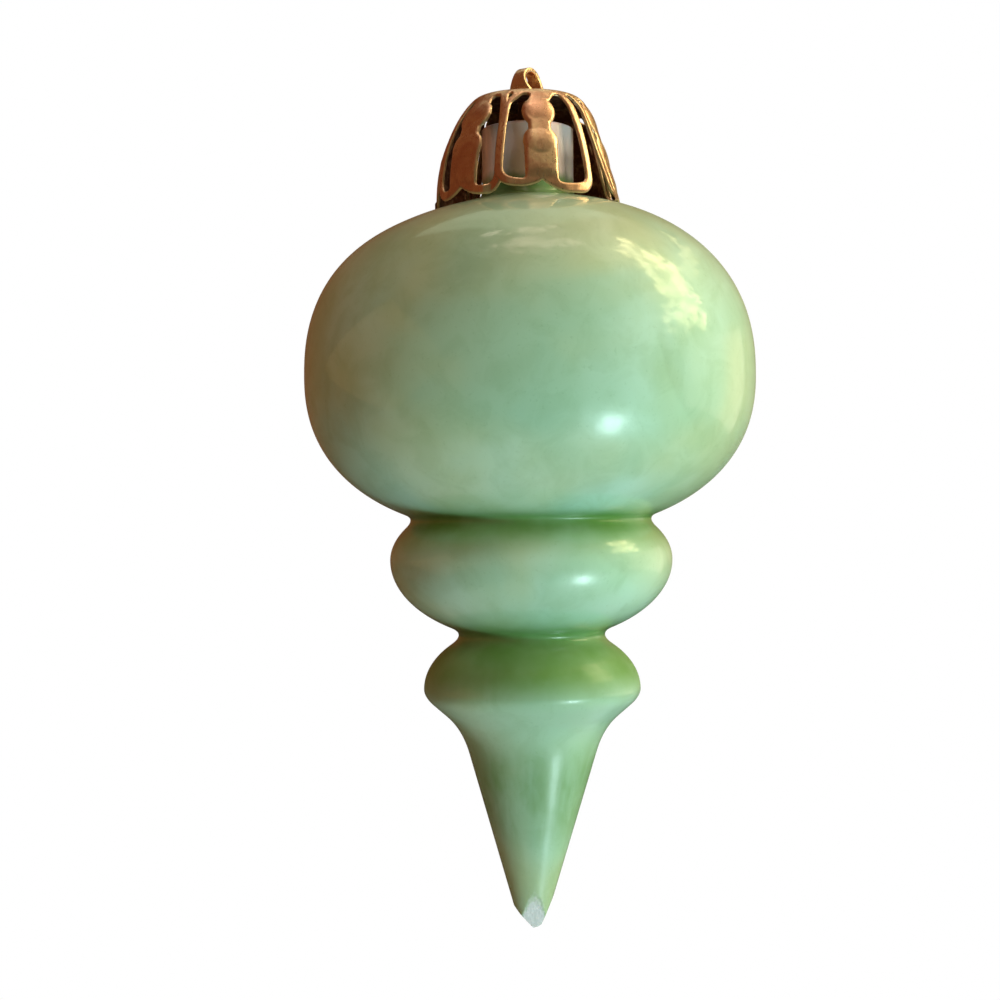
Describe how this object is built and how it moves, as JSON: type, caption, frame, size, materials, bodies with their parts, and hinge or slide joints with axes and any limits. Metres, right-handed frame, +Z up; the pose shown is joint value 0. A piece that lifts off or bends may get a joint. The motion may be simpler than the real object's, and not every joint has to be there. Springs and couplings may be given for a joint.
{
  "type": "finial ornament",
  "caption": "Hollow finial-shaped tree ornament with a bulb, bead, ridge and cone point, topped by an openwork crown cap and a spring hanger with a hook eye.",
  "frame": {"origin": "centre of the hanger's hook eye, where the ornament hangs from a hook", "axes": "+Z up along the ornament's turned axis, +Y along the hook eye's axis, +X to the side of the eye"},
  "size_m": [0.055, 0.055, 0.1052],
  "materials": {
    "lacquered_body": "pearly pale green gloss lacquer over white moulded plastic, bare white at the neck",
    "crown_metal": "copper-gold plated stamped sheet, worn bright on the edges and tarnished in the hollows",
    "hanger_metal": "copper-gold plated bent strip, slightly tarnished"
  },
  "bodies": {
    "hanger": {"spring_hanger": "hanger_metal"},
    "crown": {"crown_cap": "crown_metal"},
    "body": {"body_shell": "lacquered_body"}
  },
  "joints": [
    {"name": "crown_turn", "type": "hinge", "parent": "hanger", "child": "crown", "pos_m": [0, 0, 0], "axis": [0, 0, 1], "continuous": true},
    {"name": "cap_pull", "type": "slide", "parent": "hanger", "child": "body", "axis": [0, 0, -1], "range_m": [0, 0.015]}
  ]
}
